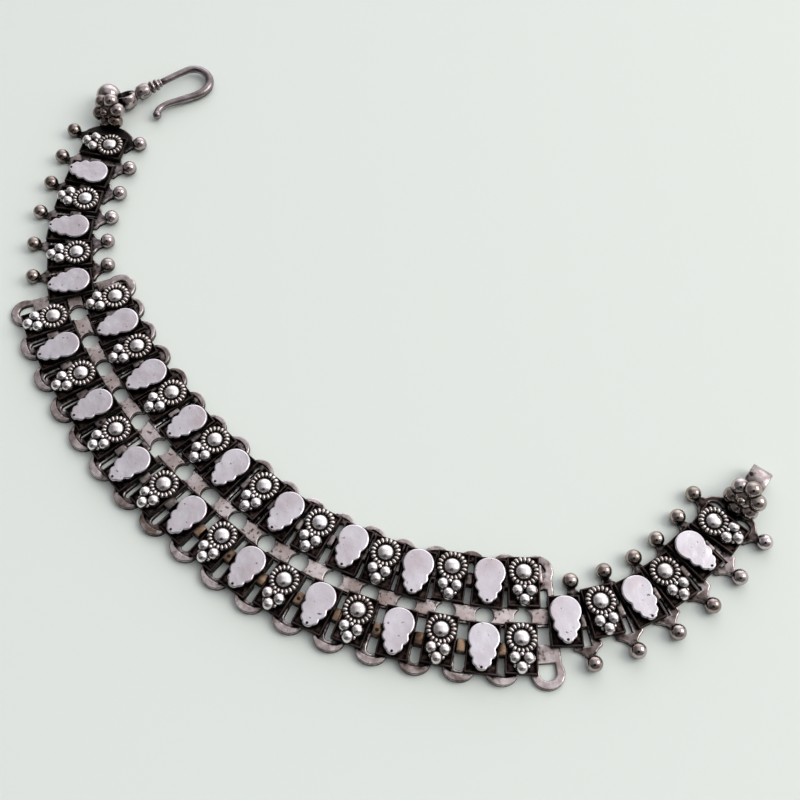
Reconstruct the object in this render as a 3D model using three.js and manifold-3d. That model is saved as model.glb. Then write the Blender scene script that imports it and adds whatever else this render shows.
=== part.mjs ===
// Articulated silver strap bracelet, laid open and flat in a curve, its hook at the upper left
// and its eye at the right. Millimetres, +Z up, the origin at the middle of the underside.
// Columns of set boxes sit across the strap, and pierced cross links join one column to the next.
// In the frame of a column, x runs along the strap and y across it, to the inside of the curve.
import * as THREE from 'three';
import { mergeVertices } from 'three/addons/utils/BufferGeometryUtils.js';
import Module from 'manifold-3d';

const wasm = await Module();
wasm.setup();

// Driving sizes

const pitch = 6; // from one column to the next
const rowOffset = 5.2; // each row's middle from the strap's, where it has two rows
const strap = { hookSide: 6, twoRow: 17, eyeSide: 6 }; // columns in each part of the strap

// How the strap lies: the first column's place and heading, then the turn at each joint.
const firstColumn = { x: -55.4, y: 51.4, heading: -103.4 };
const bends = [
  { joints: 2, turn: 2 },
  { joints: 4, turn: 8 },
  { joints: 2, turn: 5 },
  { joints: 6, turn: 3 },
  { joints: 5, turn: 5 },
  { joints: 4, turn: 4 },
  { joints: 2, turn: 11.5 },
  { joints: 3, turn: 8.5 },
];

const box = { along: 4.9, across: 7.8, under: 1, top: 1.7 };
const lug = { thick: 0.4, from: 1.9, to: 3.3 }; // drops through the cross link beside it

// A cross link: its two knuckles and holes, then what ends it in a two-row or a one-row strap.
const link = { thick: 0.7, half: 2.2, holeHalf: 1.35, knuckle: 1 };
const roundEnd = { reach: 6, band: 1.4 };
const middle = { holeFrom: 1.55, waist: 1.55, flare: 2.3, height: 1.25 }; // between the two rows
const flange = { holeTo: 3.6, from: 3.9, end: 5.4, tip: 6.2, tipHalf: 0.6, ball: 6.55, ballRadius: 1.25 };
const wireWidth = 0.6; // the hidden wire that holds a stretch of cross links together
const stretchLength = 3;

// The last link at each end bulges outwards as an arch: its rim and its hole, from the middle out.
const archRim = [{ x: 3.2, y: 1 }, { x: 2.8, y: 2.6 }, { x: 1.7, y: 4.6 }];
const archHole = [{ x: 1.9, y: 1.1 }, { x: 1.6, y: 2.6 }, { x: 0.7, y: 3.8 }];
const archShoulder = { x: -2, y: 4.2 };

const sunk = 0.2; // how far what sits on a box reaches into it
const leaf = { top: 2.7, shift: -0.15 };
const leafOutline = [
  { y: 3.65, half: 0.8 },
  { y: 2.5, half: 2 },
  { y: 1, half: 2.25 },
  { y: -0.7, half: 1.65 },
  { y: -1.5, half: 1.8 },
  { y: -2.5, half: 1.2 },
  { y: -3.65, half: 0.4 },
];

const flower = { ringY: 1.35, ringRadius: 2.35, ringTop: 2.45, domeRadius: 1.25, domeRise: 0.9 };
const grape = { radius: 0.88, rise: 1.35, places: [[-1.2, -1.65], [1.2, -1.65], [0, -2.95]] };

const rosette = { petals: 6, radius: 2.75, lobe: 0.13, rise: 1.5, height: 2.6, button: 0.85, tilt: 18 };

// The hook's bead: the rosette's place and heading, and the round bead soldered behind it.
const hookBead = { x: -54.7, y: 59.7, heading: 97, reach: 4.25, radius: 1.85 };
const solderBar = 1.2;

// The eye's bead: how far the rosette and the loop stand out from the last cross link.
const eyeBead = { rosette: 3.6, loop: 8.6 };
const eye = { wide: 3.4, long: 5.2, tall: 3.4, wall: 0.6 };

// The hook: its knob's place, how it lies, and its turned stem along x from the knob's middle.
const hook = { x: -51.65, y: 62.75, height: 1.85, heading: 36, pitch: 1.5, roll: 8 };
const hookStem = [
  { x: -1.3, radius: 1.2 },
  { x: 0, radius: 1.75 },
  { x: 1.6, radius: 0.95 },
  { x: 2.4, radius: 1.1 },
  { x: 3.7, radius: 1.5 },
  { x: 5.1, radius: 0.85 },
  { x: 5.8, radius: 1.15 },
  { x: 6.4, radius: 0.8 },
  { x: 6.9, radius: 1 },
];
const hookStemEnds = { from: -1.75, to: 7.4 };

// The hook's wire runs on from the stem through these stretches, each turning as it goes.
const hookWire = { radius: 0.68, tip: 0.6, from: 6, sides: 5, steps: 18, turnPerStep: 20 };
const hookBends = [
  { length: 6.6, turn: -2 },
  { length: 2.2, turn: -36 },
  { length: 6.2, turn: -124 },
  { length: 2.6, turn: -30 },
  { length: 4.6, turn: -2 },
  { length: 2.2, turn: 22 },
  { length: 2.4, turn: 50 },
];

// How many sides the round shapes have
const facets = {
  ring: 8, dome: 6, grape: 5, linkEnd: 3, bun: 5, roundBead: 8, eye: 12, eyeHole: 8, stem: 7,
};

// Finishes

const polished = { color: 0xc9c4c0, roughness: 0.3, metalness: 1 };
const tarnished = { color: 0x7d746e, roughness: 0.45, metalness: 1 };

// Solids: a closed geometry is welded where it is made, so that it can be turned and moved
// before it is joined to others, and the joined solid comes back as a geometry.

function weld(geometry) {
  geometry.deleteAttribute('normal');
  geometry.deleteAttribute('uv');
  return mergeVertices(geometry, 1e-4);
}

function toSolid(geometry) {
  const corners = geometry.index.array;
  const faces = [];
  for (let i = 0; i < corners.length; i += 3) {
    const [a, b, c] = corners.slice(i, i + 3);
    if (a !== b && b !== c && c !== a) {
      faces.push(a, b, c);
    }
  }
  const vertProperties = geometry.attributes.position.array;
  const triVerts = Uint32Array.from(faces);
  return new wasm.Manifold(new wasm.Mesh({ numProp: 3, vertProperties, triVerts }));
}

function toGeometry(solid) {
  const { vertProperties, triVerts } = solid.getMesh();
  const geometry = new THREE.BufferGeometry();
  geometry.setAttribute('position', new THREE.BufferAttribute(vertProperties, 3));
  geometry.setIndex(new THREE.BufferAttribute(triVerts, 1));
  geometry.computeVertexNormals();
  return geometry;
}

function join(geometries) {
  return geometries.map(toSolid).reduce((whole, piece) => whole.add(piece));
}

// Shapes

function slab(x, y, z, alongX, alongY, alongZ) {
  return weld(new THREE.BoxGeometry(alongX, alongY, alongZ)).translate(x, y, z);
}

// A plate of the given outline, from the height bottom to the height top.
function plate(points, holes, bottom, top) {
  const shape = new THREE.Shape(points);
  shape.holes = holes.map((hole) => new THREE.Path(hole));
  const geometry = new THREE.ExtrudeGeometry(shape, { depth: top - bottom, bevelEnabled: false });
  return weld(geometry).translate(0, 0, bottom);
}

function mirroredOutline(rows, shift = 0) {
  const right = rows.map(({ y, half }) => new THREE.Vector2(half, y + shift));
  const left = rows.map(({ y, half }) => new THREE.Vector2(-half, y + shift)).reverse();
  return [...right, ...left];
}

// A dome that stands on the height seat, its foot sunk into what carries it.
function domeCap(radius, rise, sides, seat) {
  const [foot, shoulder, shoulderHeight] = [-0.3, radius * 0.75, rise * 0.7];
  const profile = [
    new THREE.Vector2(0, foot),
    new THREE.Vector2(radius, foot),
    new THREE.Vector2(shoulder, shoulderHeight),
    new THREE.Vector2(0, rise),
  ];
  return weld(new THREE.LatheGeometry(profile, sides)).rotateX(Math.PI / 2).translate(0, 0, seat);
}

function ball(radius) {
  return weld(new THREE.IcosahedronGeometry(radius, 0));
}

// The box that every column has: a shallow tray with a pointed lug down each long side.
function boxBody() {
  const middleHeight = (box.under + box.top) / 2;
  const lugPoints = [[lug.to, middleHeight], [lug.from, middleHeight], [(lug.from + lug.to) / 2, 0]];
  const lugOutline = lugPoints.map(([y, z]) => new THREE.Vector2(y, z));
  const lugs = [-box.along / 2, box.along / 2 - lug.thick].map((x) => (
    plate(lugOutline, [], 0, lug.thick).rotateX(Math.PI / 2).rotateZ(Math.PI / 2).translate(x, 0, 0)
  ));
  return [slab(0, 0, middleHeight, box.along, box.across, box.top - box.under), ...lugs];
}

function leafBox() {
  const outline = mirroredOutline(leafOutline, leaf.shift);
  return toGeometry(join([...boxBody(), plate(outline, [], box.top - sunk, leaf.top)]));
}

function flowerBox() {
  const ringHeight = flower.ringTop - box.top + sunk;
  const ring = new THREE.CylinderGeometry(flower.ringRadius, flower.ringRadius, ringHeight, facets.ring);
  ring.rotateX(Math.PI / 2).rotateZ(Math.PI / facets.ring);
  const dome = domeCap(flower.domeRadius, flower.domeRise, facets.dome, flower.ringTop);
  const grapes = grape.places.map(([x, y]) => (
    domeCap(grape.radius, grape.rise, facets.grape, box.top).translate(x, y, 0)
  ));
  return toGeometry(join([
    ...boxBody(),
    weld(ring).translate(0, flower.ringY, flower.ringTop - ringHeight / 2),
    dome.translate(0, flower.ringY, 0),
    ...grapes,
  ]));
}

// Cross links: the strip under a gap, pierced on each side of its knuckles.

function rectangle(halfX, fromY, toY) {
  const corners = [[-halfX, fromY], [halfX, fromY], [halfX, toY], [-halfX, toY]];
  return corners.map(([x, y]) => new THREE.Vector2(x, y));
}

function reflected(points) {
  return points.map((point) => new THREE.Vector2(point.x, -point.y)).reverse();
}

// A two-row cross link has rounded ends, two holes in each row and a waisted plate between.
function twoRowStrip() {
  const end = rowOffset + roundEnd.reach;
  const halfOutline = [new THREE.Vector2(middle.flare, middle.height)];
  for (let step = 0; step <= facets.linkEnd; step += 1) {
    const angle = (step * Math.PI) / facets.linkEnd;
    const x = link.half * Math.cos(angle);
    halfOutline.push(new THREE.Vector2(x, end - link.half + link.half * Math.sin(angle)));
  }
  halfOutline.push(new THREE.Vector2(-middle.flare, middle.height));
  const waist = [new THREE.Vector2(-middle.waist, 0), new THREE.Vector2(middle.waist, 0)];
  const outline = [...halfOutline, waist[0], ...reflected(halfOutline), waist[1]];
  const outerHole = rectangle(link.holeHalf, rowOffset + link.knuckle, end - roundEnd.band);
  const innerHole = rectangle(link.holeHalf, middle.holeFrom, rowOffset - link.knuckle);
  const holes = [outerHole, innerHole, reflected(outerHole), reflected(innerHole)];
  return plate(outline, holes, 0, link.thick);
}

// A one-row cross link tapers to a flange with a ball at each end.
function flangeTip() {
  return [
    new THREE.Vector2(flange.tipHalf, flange.end),
    new THREE.Vector2(flange.tipHalf, flange.tip),
    new THREE.Vector2(-flange.tipHalf, flange.tip),
    new THREE.Vector2(-flange.tipHalf, flange.end),
  ];
}

function ballPair() {
  const places = [-flange.ball, flange.ball];
  return places.map((y) => ball(flange.ballRadius).translate(0, y, flange.ballRadius));
}

function oneRowStrip() {
  const shoulders = [link.half, -link.half].map((x) => new THREE.Vector2(x, flange.from));
  const halfOutline = [shoulders[0], ...flangeTip(), shoulders[1]];
  const hole = rectangle(link.holeHalf, link.knuckle, flange.holeTo);
  return plate([...halfOutline, ...reflected(halfOutline)], [hole, reflected(hole)], 0, link.thick);
}

// The arch bulges towards +x, and its other side is straight.
function archedStrip() {
  const toCorners = (points) => points.map(({ x, y }) => new THREE.Vector2(x, y));
  const halfOutline = [...toCorners(archRim), ...flangeTip(), ...toCorners([archShoulder])];
  const hole = toCorners(archHole);
  const holeEnds = [hole.at(-1).y, hole[0].y];
  hole.push(...holeEnds.map((y) => new THREE.Vector2(-link.holeHalf, y)));
  return plate([...halfOutline, ...reflected(halfOutline)], [hole, reflected(hole)], 0, link.thick);
}

// Clasp

// A bun with a lobe for each petal and a button on top, leaning back (towards -x).
function rosettePieces() {
  const bun = new THREE.SphereGeometry(1, 2 * rosette.petals, facets.bun).rotateX(Math.PI / 2);
  const { position } = bun.attributes;
  for (let i = 0; i < position.count; i += 1) {
    const [x, y, z] = [position.getX(i), position.getY(i), position.getZ(i)];
    const radius = rosette.radius * (1 - rosette.lobe * Math.cos(rosette.petals * Math.atan2(y, x)));
    position.setXYZ(i, x * radius, y * radius, z * rosette.rise);
  }
  const lean = -THREE.MathUtils.degToRad(rosette.tilt);
  const pieces = [weld(bun), ball(rosette.button).translate(0, 0, rosette.rise)];
  return pieces.map((piece) => piece.rotateY(lean).translate(0, 0, rosette.height));
}

// The hook's bead, a rosette with a round bead behind it.
function hookBeadSolid() {
  const { reach, radius } = hookBead;
  const sphere = new THREE.SphereGeometry(radius, facets.roundBead, facets.roundBead - 2);
  const roundBead = weld(sphere).rotateX(Math.PI / 2).translate(reach, 0, radius);
  const bar = slab(reach / 2, 0, radius, reach, solderBar, solderBar);
  return toGeometry(join([...rosettePieces(), roundBead, bar]));
}

function oval(halfLong, halfTall, corners) {
  return Array.from({ length: corners }, (_, corner) => {
    const angle = (corner * 2 * Math.PI) / corners;
    return new THREE.Vector2(halfLong * Math.cos(angle), halfTall * Math.sin(angle));
  });
}

// The eye: a rosette with a wide band bent to a long loop, its opening across the strap.
function eyeBeadSolid() {
  const [halfLong, halfTall] = [eye.long / 2, eye.tall / 2];
  const outline = new THREE.Shape(oval(halfLong, halfTall, facets.eye));
  outline.holes = [new THREE.Path(oval(halfLong - eye.wall, halfTall - eye.wall, facets.eyeHole))];
  const band = new THREE.ExtrudeGeometry(outline, { depth: eye.wide, bevelEnabled: false });
  const reach = eyeBead.loop - eyeBead.rosette;
  const loop = weld(band).rotateX(Math.PI / 2).translate(reach, eye.wide / 2, halfTall);
  const barEnd = reach - halfLong + eye.wall;
  const bar = slab(barEnd / 2, 0, halfTall, barEnd, solderBar, solderBar);
  return toGeometry(join([...rosettePieces(), loop, bar]));
}

function hookPath() {
  let [x, y, heading] = [hookWire.from, 0, 0];
  const points = [new THREE.Vector3(x, y, 0)];
  for (const { length, turn } of hookBends) {
    const steps = Math.max(2, Math.round(Math.abs(turn) / hookWire.turnPerStep));
    const halfTurn = THREE.MathUtils.degToRad(turn / steps / 2);
    for (let step = 0; step < steps; step += 1) {
      heading += halfTurn;
      x += (length / steps) * Math.cos(heading);
      y += (length / steps) * Math.sin(heading);
      heading += halfTurn;
      points.push(new THREE.Vector3(x, y, 0));
    }
  }
  return points;
}

function hookSolid() {
  const profile = hookStem.map(({ x, radius }) => new THREE.Vector2(radius, x));
  profile.unshift(new THREE.Vector2(0, hookStemEnds.from));
  profile.push(new THREE.Vector2(0, hookStemEnds.to));
  const stem = weld(new THREE.LatheGeometry(profile, facets.stem)).rotateZ(-Math.PI / 2);
  const points = hookPath();
  const section = new THREE.Shape(oval(hookWire.radius, hookWire.radius, hookWire.sides));
  const extrudePath = new THREE.CatmullRomCurve3(points);
  const { steps } = hookWire;
  const wire = new THREE.ExtrudeGeometry(section, { steps, extrudePath, bevelEnabled: false });
  const tip = ball(hookWire.tip).translate(points.at(-1).x, points.at(-1).y, 0);
  return toGeometry(join([stem, weld(wire), tip]));
}

// The strap's route: where each column and each joint between columns lies.

function walkStrap() {
  const turns = bends.flatMap(({ joints, turn }) => Array(joints).fill(THREE.MathUtils.degToRad(turn)));
  let { x, y } = firstColumn;
  let heading = THREE.MathUtils.degToRad(firstColumn.heading);
  const forward = (distance) => {
    x += distance * Math.cos(heading);
    y += distance * Math.sin(heading);
  };
  forward(-pitch / 2);
  const joints = [{ x, y, heading: heading - turns[0] / 2 }];
  const columns = [];
  for (const turn of [...turns, turns.at(-1)]) {
    forward(pitch / 2);
    columns.push({ x, y, heading });
    forward(pitch / 2);
    joints.push({ x, y, heading: heading + turn / 2 });
    heading += turn;
  }
  return { columns, joints };
}

function put(geometry, place) {
  return geometry.rotateZ(place.heading).translate(place.x, place.y, 0);
}

const bracelet = new THREE.Group();
const { columns, joints } = walkStrap();

function addMesh(name, geometry, finish, parent = bracelet) {
  const mesh = new THREE.Mesh(geometry, new THREE.MeshStandardMaterial(finish));
  mesh.name = name;
  parent.add(mesh);
  return mesh;
}

// Columns: flower and leaf boxes take turns along every row.

const boxGeometry = { flower: flowerBox(), leaf: leafBox() };

function addRow(rowName, places, firstKind, offset) {
  const counts = { flower: 0, leaf: 0 };
  places.forEach((place, index) => {
    const other = firstKind === 'flower' ? 'leaf' : 'flower';
    const kind = index % 2 === 0 ? firstKind : other;
    counts[kind] += 1;
    const column = new THREE.Group();
    column.position.set(place.x, place.y, 0);
    column.rotation.z = place.heading;
    const mesh = addMesh(`${rowName}_${kind}_${counts[kind]}`, boxGeometry[kind], polished, column);
    mesh.position.y = offset;
    bracelet.add(column);
  });
}

const lastTwoRow = strap.hookSide + strap.twoRow;
addRow('hook_side', columns.slice(0, strap.hookSide), 'flower', 0);
addRow('inner', columns.slice(strap.hookSide, lastTwoRow), 'flower', rowOffset);
addRow('outer', columns.slice(strap.hookSide, lastTwoRow), 'flower', -rowOffset);
addRow('eye_side', columns.slice(lastTwoRow), 'leaf', 0);

// Cross links: a stretch of neighbouring strips is one solid, joined by wires under the boxes.

function joinWire(from, to, offset) {
  const shifted = [from, to].map((place) => new THREE.Vector2(
    place.x - offset * Math.sin(place.heading),
    place.y + offset * Math.cos(place.heading),
  ));
  const [start, end] = shifted;
  const span = end.clone().sub(start);
  const wire = slab(0, 0, link.thick / 2, span.length(), wireWidth, link.thick);
  const centre = start.add(end).multiplyScalar(0.5);
  return put(wire, { x: centre.x, y: centre.y, heading: span.angle() });
}

// A stretch's links each have a place and their pieces; the wires run between neighbours.
function addStretch(name, links, offset) {
  const pieces = links.flatMap(({ place, parts }) => parts.map((part) => put(part, place)));
  for (let i = 1; i < links.length; i += 1) {
    pieces.push(joinWire(links[i - 1].place, links[i].place, offset));
  }
  addMesh(name, toGeometry(join(pieces)), tarnished);
}

const twoRowJoints = joints.slice(strap.hookSide, lastTwoRow + 1);
for (let i = 0; i < twoRowJoints.length; i += stretchLength) {
  const places = twoRowJoints.slice(i, i + stretchLength);
  const links = places.map((place) => ({ place, parts: [twoRowStrip()] }));
  addStretch(`two_row_links_${i / stretchLength + 1}`, links, rowOffset);
}

const hookEnd = { ...joints[0], heading: joints[0].heading + Math.PI };
const eyeEnd = joints.at(-1);
const oneRowLink = (place) => ({ place, parts: [oneRowStrip(), ...ballPair()] });
const archedLink = (place) => ({ place, parts: [archedStrip(), ...ballPair()] });
const oneRowLinks = {
  hook_side: [archedLink(hookEnd), ...joints.slice(1, strap.hookSide).map(oneRowLink)],
  eye_side: [...joints.slice(lastTwoRow + 1, -1).map(oneRowLink), archedLink(eyeEnd)],
};
for (const [name, links] of Object.entries(oneRowLinks)) {
  addStretch(`${name}_links_1`, links.slice(0, stretchLength), 0);
  addStretch(`${name}_links_2`, links.slice(stretchLength), 0);
}

// The clasp lies loosely at the strap's two ends.

const hookBeadMesh = addMesh('hook_bead', hookBeadSolid(), tarnished);
hookBeadMesh.position.set(hookBead.x, hookBead.y, 0);
hookBeadMesh.rotation.z = THREE.MathUtils.degToRad(hookBead.heading);

const hookMesh = addMesh('hook', hookSolid(), tarnished);
const [roll, pitchDown, heading] = [hook.roll, hook.pitch, hook.heading].map(THREE.MathUtils.degToRad);
hookMesh.position.set(hook.x, hook.y, hook.height);
hookMesh.rotation.set(roll, pitchDown, heading, 'ZYX');

const eyeBeadMesh = addMesh('eye_bead', eyeBeadSolid(), tarnished);
eyeBeadMesh.position.set(
  eyeEnd.x + eyeBead.rosette * Math.cos(eyeEnd.heading),
  eyeEnd.y + eyeBead.rosette * Math.sin(eyeEnd.heading),
  0,
);
eyeBeadMesh.rotation.z = eyeEnd.heading;

// The origin goes to the middle of the underside.
bracelet.updateMatrixWorld(true);
const bounds = new THREE.Box3().setFromObject(bracelet, true);
const centre = bounds.getCenter(new THREE.Vector3());
bracelet.position.set(-centre.x, -centre.y, -bounds.min.z);

export default bracelet;
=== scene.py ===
import math
import random

import bmesh
import bpy
from mathutils import Matrix, Vector


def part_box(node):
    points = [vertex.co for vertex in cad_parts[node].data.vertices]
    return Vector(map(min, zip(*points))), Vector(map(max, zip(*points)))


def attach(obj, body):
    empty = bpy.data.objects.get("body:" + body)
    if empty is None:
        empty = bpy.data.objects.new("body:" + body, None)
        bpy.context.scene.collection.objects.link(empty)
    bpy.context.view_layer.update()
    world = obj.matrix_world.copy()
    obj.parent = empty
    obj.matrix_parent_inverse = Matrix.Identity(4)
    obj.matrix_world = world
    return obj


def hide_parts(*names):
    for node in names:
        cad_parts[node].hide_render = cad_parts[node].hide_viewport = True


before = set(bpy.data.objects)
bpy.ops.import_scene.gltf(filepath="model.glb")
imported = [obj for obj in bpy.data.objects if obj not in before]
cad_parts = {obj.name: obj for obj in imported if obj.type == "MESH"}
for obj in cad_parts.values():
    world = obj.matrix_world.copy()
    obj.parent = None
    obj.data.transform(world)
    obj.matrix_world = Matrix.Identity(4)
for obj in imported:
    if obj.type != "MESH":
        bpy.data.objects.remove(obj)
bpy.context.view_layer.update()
mm = 0.001  # every size below is in millimetres
random.seed(7)
print("solids loaded")


def hexColour(text):
    # sRGB hex to linear RGBA
    parts = [int(text[i:i + 2], 16) / 255 for i in (1, 3, 5)]
    return [c / 12.92 if c <= 0.04045 else ((c + 0.055) / 1.055) ** 2.4 for c in parts] + [1]


def addNode(tree, kind, inputs=None, **settings):
    # an input takes a value, a socket, or a node that stands for its first output
    node = tree.nodes.new("ShaderNode" + kind)
    for key, value in settings.items():
        setattr(node, key, value)
    for key, value in (inputs or {}).items():
        if isinstance(value, bpy.types.Node):
            value = value.outputs[0]
        if isinstance(value, bpy.types.NodeSocket):
            tree.links.new(value, node.inputs[key])
        else:
            node.inputs[key].default_value = value
    return node


def oxidisedSilver(name, look):
    # silver dipped in liver of sulphur and rubbed back: black stays where the cloth can't reach, open faces
    # go from grey tarnish to near white, and handling leaves pits and fine scratches. The occlusion that
    # stands for the cloth's reach also paints shade black in creases, between parts and low down by the floor
    material = bpy.data.materials.new(name)
    material.use_nodes = True
    tree = material.node_tree
    tree.nodes.clear()
    oxide = hexColour(look["oxide"])
    spot = addNode(tree, "TexCoord").outputs["Object"]
    broad = addNode(tree, "TexNoise", {"Vector": spot, "Scale": 1 / (look["broadSize"] * mm), "Detail": 2})
    cloud = addNode(tree, "TexNoise", {"Vector": spot, "Scale": 1 / (look["cloudSize"] * mm), "Detail": 5})
    grime = addNode(tree, "TexNoise", {"Vector": spot, "Scale": 1 / (look["grimeSize"] * mm), "Detail": 6})
    fine = addNode(tree, "TexNoise", {"Vector": spot, "Scale": 1 / (look["scratchSize"] * mm), "Detail": 3})
    # how far the cloth reached, with a ragged border; the same occlusion paints shade black where parts crowd
    # each other and near the floor
    hollow = addNode(tree, "AmbientOcclusion", {"Distance": look["reach"] * mm}, samples=8)
    wobble = addNode(tree, "MapRange", {0: grime, 1: 0.3, 2: 0.7, 3: -look["ragged"], 4: look["ragged"]})
    openness = addNode(tree, "Math", {0: hollow.outputs["AO"], 1: wobble}, operation="ADD")
    wearAndShadeMask = addNode(tree, "MapRange", {0: openness, 1: look["blackUpTo"], 2: look["brightFrom"]})
    # tarnish drifts over the open faces, and the deepest grime fills pits
    drift = addNode(tree, "Math", {0: broad, 1: cloud}, operation="ADD")
    tarnish = addNode(tree, "MapRange", {0: drift, 1: 0.75, 2: 1.25})
    tinted = addNode(tree, "Mix", {0: tarnish, 6: hexColour(look["face"]), 7: hexColour(look["warm"])},
                     data_type="RGBA")
    pits = addNode(tree, "MapRange", {0: grime, 1: look["pitsFrom"], 2: look["pitsFrom"] + 0.05, 4: 0.8})
    pitted = addNode(tree, "Mix", {0: pits, 6: tinted.outputs[2], 7: oxide}, data_type="RGBA")
    # black where the occlusion mask is low: part oxide, part painted shade
    colour = addNode(tree, "Mix", {0: wearAndShadeMask, 6: oxide, 7: pitted.outputs[2]}, data_type="RGBA")
    rough = addNode(tree, "MapRange", {0: wearAndShadeMask, 3: look["roughBlack"], 4: look["roughFace"]})
    smear = addNode(tree, "MapRange", {0: cloud, 1: 0.3, 2: 0.7, 3: -look["smear"], 4: look["smear"]})
    roughness = addNode(tree, "Math", {0: rough, 1: smear}, operation="ADD", use_clamp=True)
    dents = addNode(tree, "Bump", {"Height": cloud, "Strength": 1, "Distance": look["dent"] * mm})
    bump = addNode(tree, "Bump", {"Height": fine, "Strength": 1, "Distance": look["scratch"] * mm,
                                  "Normal": dents})
    shader = addNode(tree, "BsdfPrincipled", {"Base Color": colour.outputs[2], "Roughness": roughness,
                                              "Metallic": look["metallic"], "Normal": bump})
    addNode(tree, "OutputMaterial", {"Surface": shader})
    return material


# sizes in millimetres; scratches are drawn coarser than real hairlines so that they still show
commonLook = {
    "face": "#D6D0D2", "warm": "#C9BDB8", "oxide": "#050303", "metallic": 1.0,
    "broadSize": 14.0, "cloudSize": 3.0, "grimeSize": 0.7, "scratchSize": 0.2, "reach": 1.6,
    "blackUpTo": 0.45, "brightFrom": 0.9, "ragged": 0.12, "pitsFrom": 0.8,
    "roughFace": 0.3, "roughBlack": 0.6, "smear": 0.06, "dent": 0.05, "scratch": 0.008,
}
looks = {
    # plates rubbed back to bare silver: a broad soft sheen, uneven, with a few black pits
    "polishedLeaf": {
        **commonLook, "face": "#E3DEE3", "warm": "#CDC2C5", "broadSize": 7.0, "dent": 0.15, "roughFace": 0.32,
        "pitsFrom": 0.66, "blackUpTo": 0.3, "brightFrom": 0.8},
    # bright heads of the domes and the balls below them, over black seams
    "rubbedShot": {
        **commonLook, "face": "#F8F3F3", "warm": "#E2D8D4", "roughFace": 0.22,
        "reach": 1.0, "blackUpTo": 0.42},
    # pale beads round a dome, a little browner than its head, with black between them
    "beadRing": {
        **commonLook, "face": "#E9E0DC", "warm": "#BFB3AC", "roughFace": 0.28,
        "reach": 0.8, "blackUpTo": 0.34},
    # sulphide black that the cloth never reached, dull with a faint brown gleam; on plate walls, box walls,
    # flower seats, the hook's end arch and the cup's hollow it is also painted shade
    "oxideWall": {**commonLook, "face": "#2A211F", "warm": "#191311", "metallic": 0.7, "roughFace": 0.5},
    # brownish floor of a box, lighter in its open corners; the occlusion mask paints it black as shade under
    # the plate and along the walls
    "trayFloor": {**commonLook, "face": "#75625B", "warm": "#35292A", "roughFace": 0.45, "ragged": 0.25},
    # dark metal along a box's lip, scuffed
    "trayLip": {**commonLook, "face": "#584B48", "warm": "#2E2522", "roughFace": 0.45, "ragged": 0.3},
    # patchy grey brown of the pierced strips
    "linkPlate": {
        **commonLook, "face": "#B0A4A2", "warm": "#4E423C", "cloudSize": 2.0,
        "roughFace": 0.34, "ragged": 0.3},
    # rims of the strips, handled bright and a little dented
    "linkEdge": {
        **commonLook, "face": "#DBCECD", "warm": "#75665F", "cloudSize": 1.5, "dent": 0.12,
        "roughFace": 0.27, "ragged": 0.3, "brightFrom": 0.85},
    # pinkish silver of the waisted plates, pitted with black
    "middlePlate": {
        **commonLook, "face": "#DDD0CE", "warm": "#9A8880", "roughFace": 0.4, "ragged": 0.3,
        "pitsFrom": 0.6, "blackUpTo": 0.35, "brightFrom": 0.8},
    # end balls polished by the skin, warm and shiny; the occlusion mask paints them black where they meet the
    # strap and towards the floor, part oxide and part painted shade
    "burnishedShot": {
        **commonLook, "face": "#CFC4C4", "warm": "#978780", "roughFace": 0.13, "roughBlack": 0.4,
        "reach": 2.2, "blackUpTo": 0.58, "brightFrom": 0.97},
    # a browner, darker copy of the same balls; on the rosette petals that lie in shade it is painted shade
    "darkerShot": {
        **commonLook, "face": "#BCAFA8", "warm": "#74655C", "roughFace": 0.14, "roughBlack": 0.4,
        "reach": 2.2, "blackUpTo": 0.55, "brightFrom": 0.97},
    # knuckles where the silvering has worn to bronze
    "bronzeKnuckle": {
        **commonLook, "face": "#B89A80", "warm": "#5C483B", "cloudSize": 1.5,
        "roughFace": 0.42, "ragged": 0.2},
    # drawn wire of the hook, smooth and grey with brown streaks
    "hookWire": {**commonLook, "face": "#A59B9E", "warm": "#6A5D59", "roughFace": 0.22, "cloudSize": 2.0},
}
finishes = {name: oxidisedSilver(name, look) for name, look in looks.items()}
finishOrder = list(finishes)
print("finishes made")


def once(elements):
    # each element once; a set would list them in another order on each run
    return list(dict.fromkeys(elements))


def facesOf(verts):
    return once(face for vert in verts for face in vert.link_faces)


def dress(faces, finish, smooth=True):
    for face in faces:
        face.material_index = finishOrder.index(finish)
        face.smooth = smooth


def addBall(bm, centre, radii, finish, segments, turn=0.0):
    matrix = Matrix.Translation(centre) @ Matrix.Rotation(turn, 4, "Z") @ Matrix.Diagonal((*radii, 1))
    made = bmesh.ops.create_uvsphere(bm, u_segments=segments, v_segments=segments // 2 + 1, radius=1,
                                     matrix=matrix)
    dress(facesOf(made["verts"]), finish)


def addBlock(bm, low, high, finish, edge):
    low, high = Vector(low), Vector(high)
    matrix = Matrix.Translation((low + high) / 2) @ Matrix.Diagonal((*(high - low), 1))
    made = bmesh.ops.create_cube(bm, size=1, matrix=matrix)
    edges = once(e for v in made["verts"] for e in v.link_edges)
    dress(facesOf(made["verts"]), finish)
    bmesh.ops.bevel(bm, geom=edges, offset=edge, segments=2, profile=0.5, affect="EDGES", material=-1)


def arc(centre, radii, start, end, steps):
    angles = [math.radians(start + (end - start) * i / steps) for i in range(steps + 1)]
    return [(centre[0] + radii[0] * math.cos(a), centre[1] + radii[1] * math.sin(a)) for a in angles]


def circle(centre, radii, corners):
    return arc(centre, radii, 0, 360 - 360 / corners, corners - 1)


def mirrored(points):
    return [(x, -y) for x, y in reversed(points)]


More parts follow.
